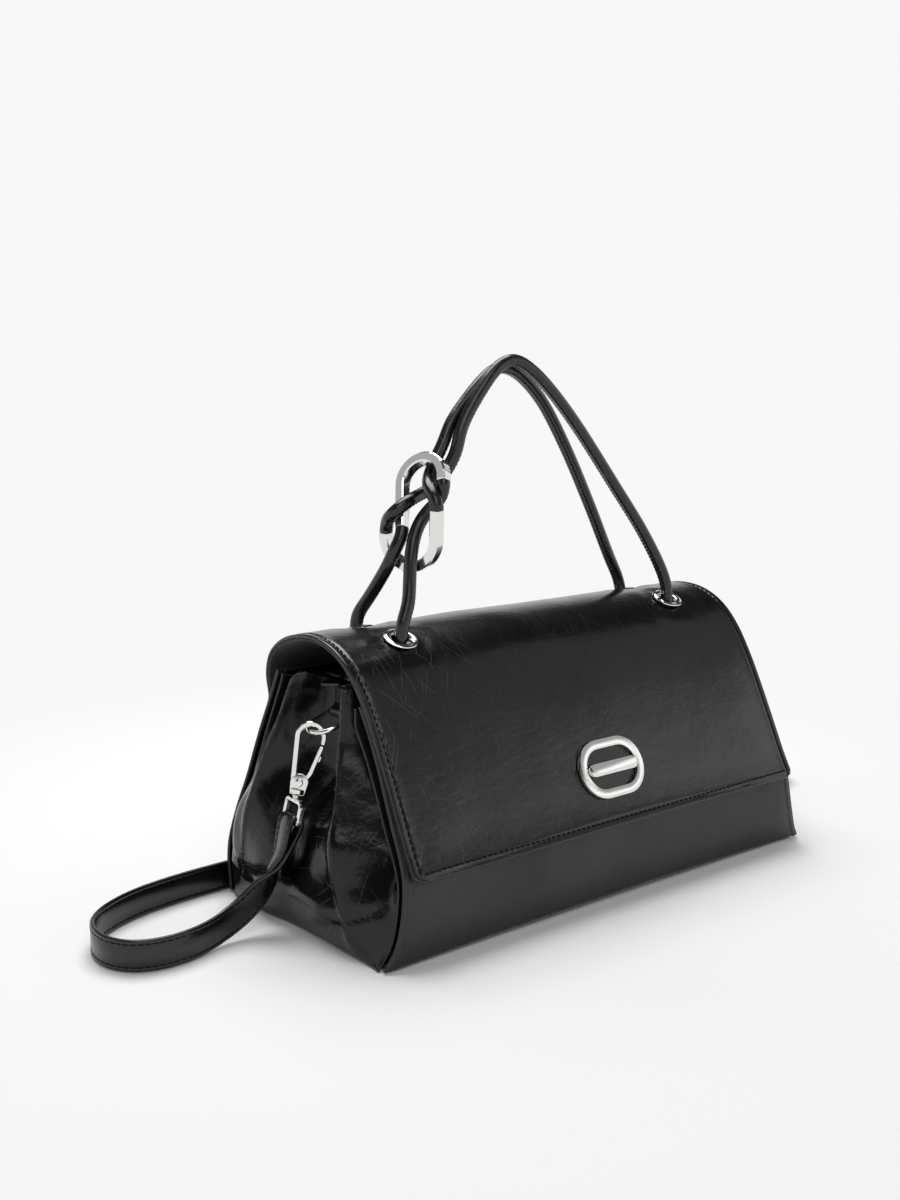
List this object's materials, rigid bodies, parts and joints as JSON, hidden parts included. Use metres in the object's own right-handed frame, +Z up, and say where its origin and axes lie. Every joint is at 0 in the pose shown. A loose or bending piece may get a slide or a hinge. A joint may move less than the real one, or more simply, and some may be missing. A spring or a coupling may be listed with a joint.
{
  "type": "satchel",
  "caption": "Fold-over satchel with gusseted sides, a zipped centre pocket, a knotted cord handle, side rings and a clip-on shoulder strap.",
  "frame": {"origin": "middle of the underside of the base", "axes": "+X along the bag towards its right end as seen from the front, -Y out of the front, +Z up"},
  "size_m": [0.4805, 0.2342, 0.2721],
  "materials": {
    "leather": "glossy pull-up leather",
    "cord": "glossy rolled leather",
    "lining": "woven",
    "board": "matte",
    "metal": "polished",
    "magnet": "satin"
  },
  "bodies": {
    "body": {"base_panel": "leather", "base_stiffener": "board", "front_panel": "leather", "back_panel": "leather", "side_gusset_left": "leather", "side_gusset_right": "leather", "front_divider": "lining", "rear_divider": "lining", "flap_hinge_strip": "leather", "body_magnet": "magnet", "zip_facing_front": "leather", "zip_facing_rear": "leather", "zip_tape_front": "lining", "zip_tape_rear": "lining", "zip_end_stop": "metal", "zip_end_tab": "leather", "ring_tab_left": "leather", "ring_tab_right": "leather", "swivel_eye_left": "metal", "swivel_eye_right": "metal", "shoulder_strap": "leather"},
    "flap": {"flap_outer": "leather", "flap_lining": "lining", "eyelet_front_left": "metal", "eyelet_rear_left": "metal", "eyelet_front_right": "metal", "eyelet_rear_right": "metal", "washer_front_left": "metal", "washer_rear_left": "metal", "washer_front_right": "metal", "washer_rear_right": "metal", "handle_cord_front_long": "cord", "handle_cord_rear_long": "cord", "handle_cord_front_short": "cord", "handle_cord_rear_short": "cord", "cord_stopper_front_long": "metal", "cord_stopper_rear_long": "metal", "cord_stopper_front_short": "metal", "cord_stopper_rear_short": "metal", "handle_link_upper": "metal", "handle_link_lower": "metal", "closure_ring": "metal", "closure_bar": "metal", "flap_magnet": "magnet"},
    "slider": {"zip_slider": "metal"},
    "puller": {"zip_puller": "metal"},
    "ring_left": {"d_ring_left": "metal"},
    "ring_right": {"d_ring_right": "metal"},
    "clip_left": {"clip_body_left": "metal", "clip_rivet_left": "metal"},
    "clip_right": {"clip_body_right": "metal", "clip_rivet_right": "metal"},
    "gate_left": {"clip_gate_left": "metal"},
    "gate_right": {"clip_gate_right": "metal"}
  },
  "joints": [
    {"name": "flap_hinge", "type": "hinge", "parent": "body", "child": "flap", "pos_m": [0, 0.04582, 0.1043], "axis": [-1, 0, 0], "range_deg": [0, 105]},
    {"name": "zip_slide", "type": "slide", "parent": "body", "child": "slider", "axis": [1, 0, 0], "range_m": [0, 0.2128], "deforming": ["zip_tape_front", "zip_tape_rear"]},
    {"name": "puller_hinge", "type": "hinge", "parent": "slider", "child": "puller", "pos_m": [-0.11075, 0.004, 0.1201], "axis": [0, -1, 0], "range_deg": [0, 180]},
    {"name": "ring_left_hinge", "type": "hinge", "parent": "body", "child": "ring_left", "pos_m": [-0.11904, 0.004, 0.101], "axis": [0, -1, 0], "range_deg": [0, 5]},
    {"name": "ring_right_hinge", "type": "hinge", "parent": "body", "child": "ring_right", "pos_m": [0.11904, 0.004, 0.101], "axis": [0, 1, 0], "range_deg": [0, 5]},
    {"name": "clip_left_swivel", "type": "hinge", "parent": "body", "child": "clip_left", "pos_m": [-0.13604, 0.0052, 0.0996], "axis": [0.2691, 0.0135, 0.963], "range_deg": [-2, 20]},
    {"name": "clip_right_swivel", "type": "hinge", "parent": "body", "child": "clip_right", "pos_m": [0.13604, 0.0052, 0.0996], "axis": [-0.2691, 0.0135, 0.963], "range_deg": [-20, 2]},
    {"name": "gate_left_hinge", "type": "hinge", "parent": "clip_left", "child": "gate_left", "pos_m": [-0.14403, 0.0048, 0.071], "axis": [-0.6279, -0.7557, 0.186], "range_deg": [0, 20], "stiffness_Nm_per_rad": 0.02, "springref_deg": -20.05},
    {"name": "gate_right_hinge", "type": "hinge", "parent": "clip_right", "child": "gate_right", "pos_m": [0.14403, 0.0048, 0.071], "axis": [-0.6279, 0.7557, -0.186], "range_deg": [0, 20], "stiffness_Nm_per_rad": 0.02, "springref_deg": -20.05}
  ]
}
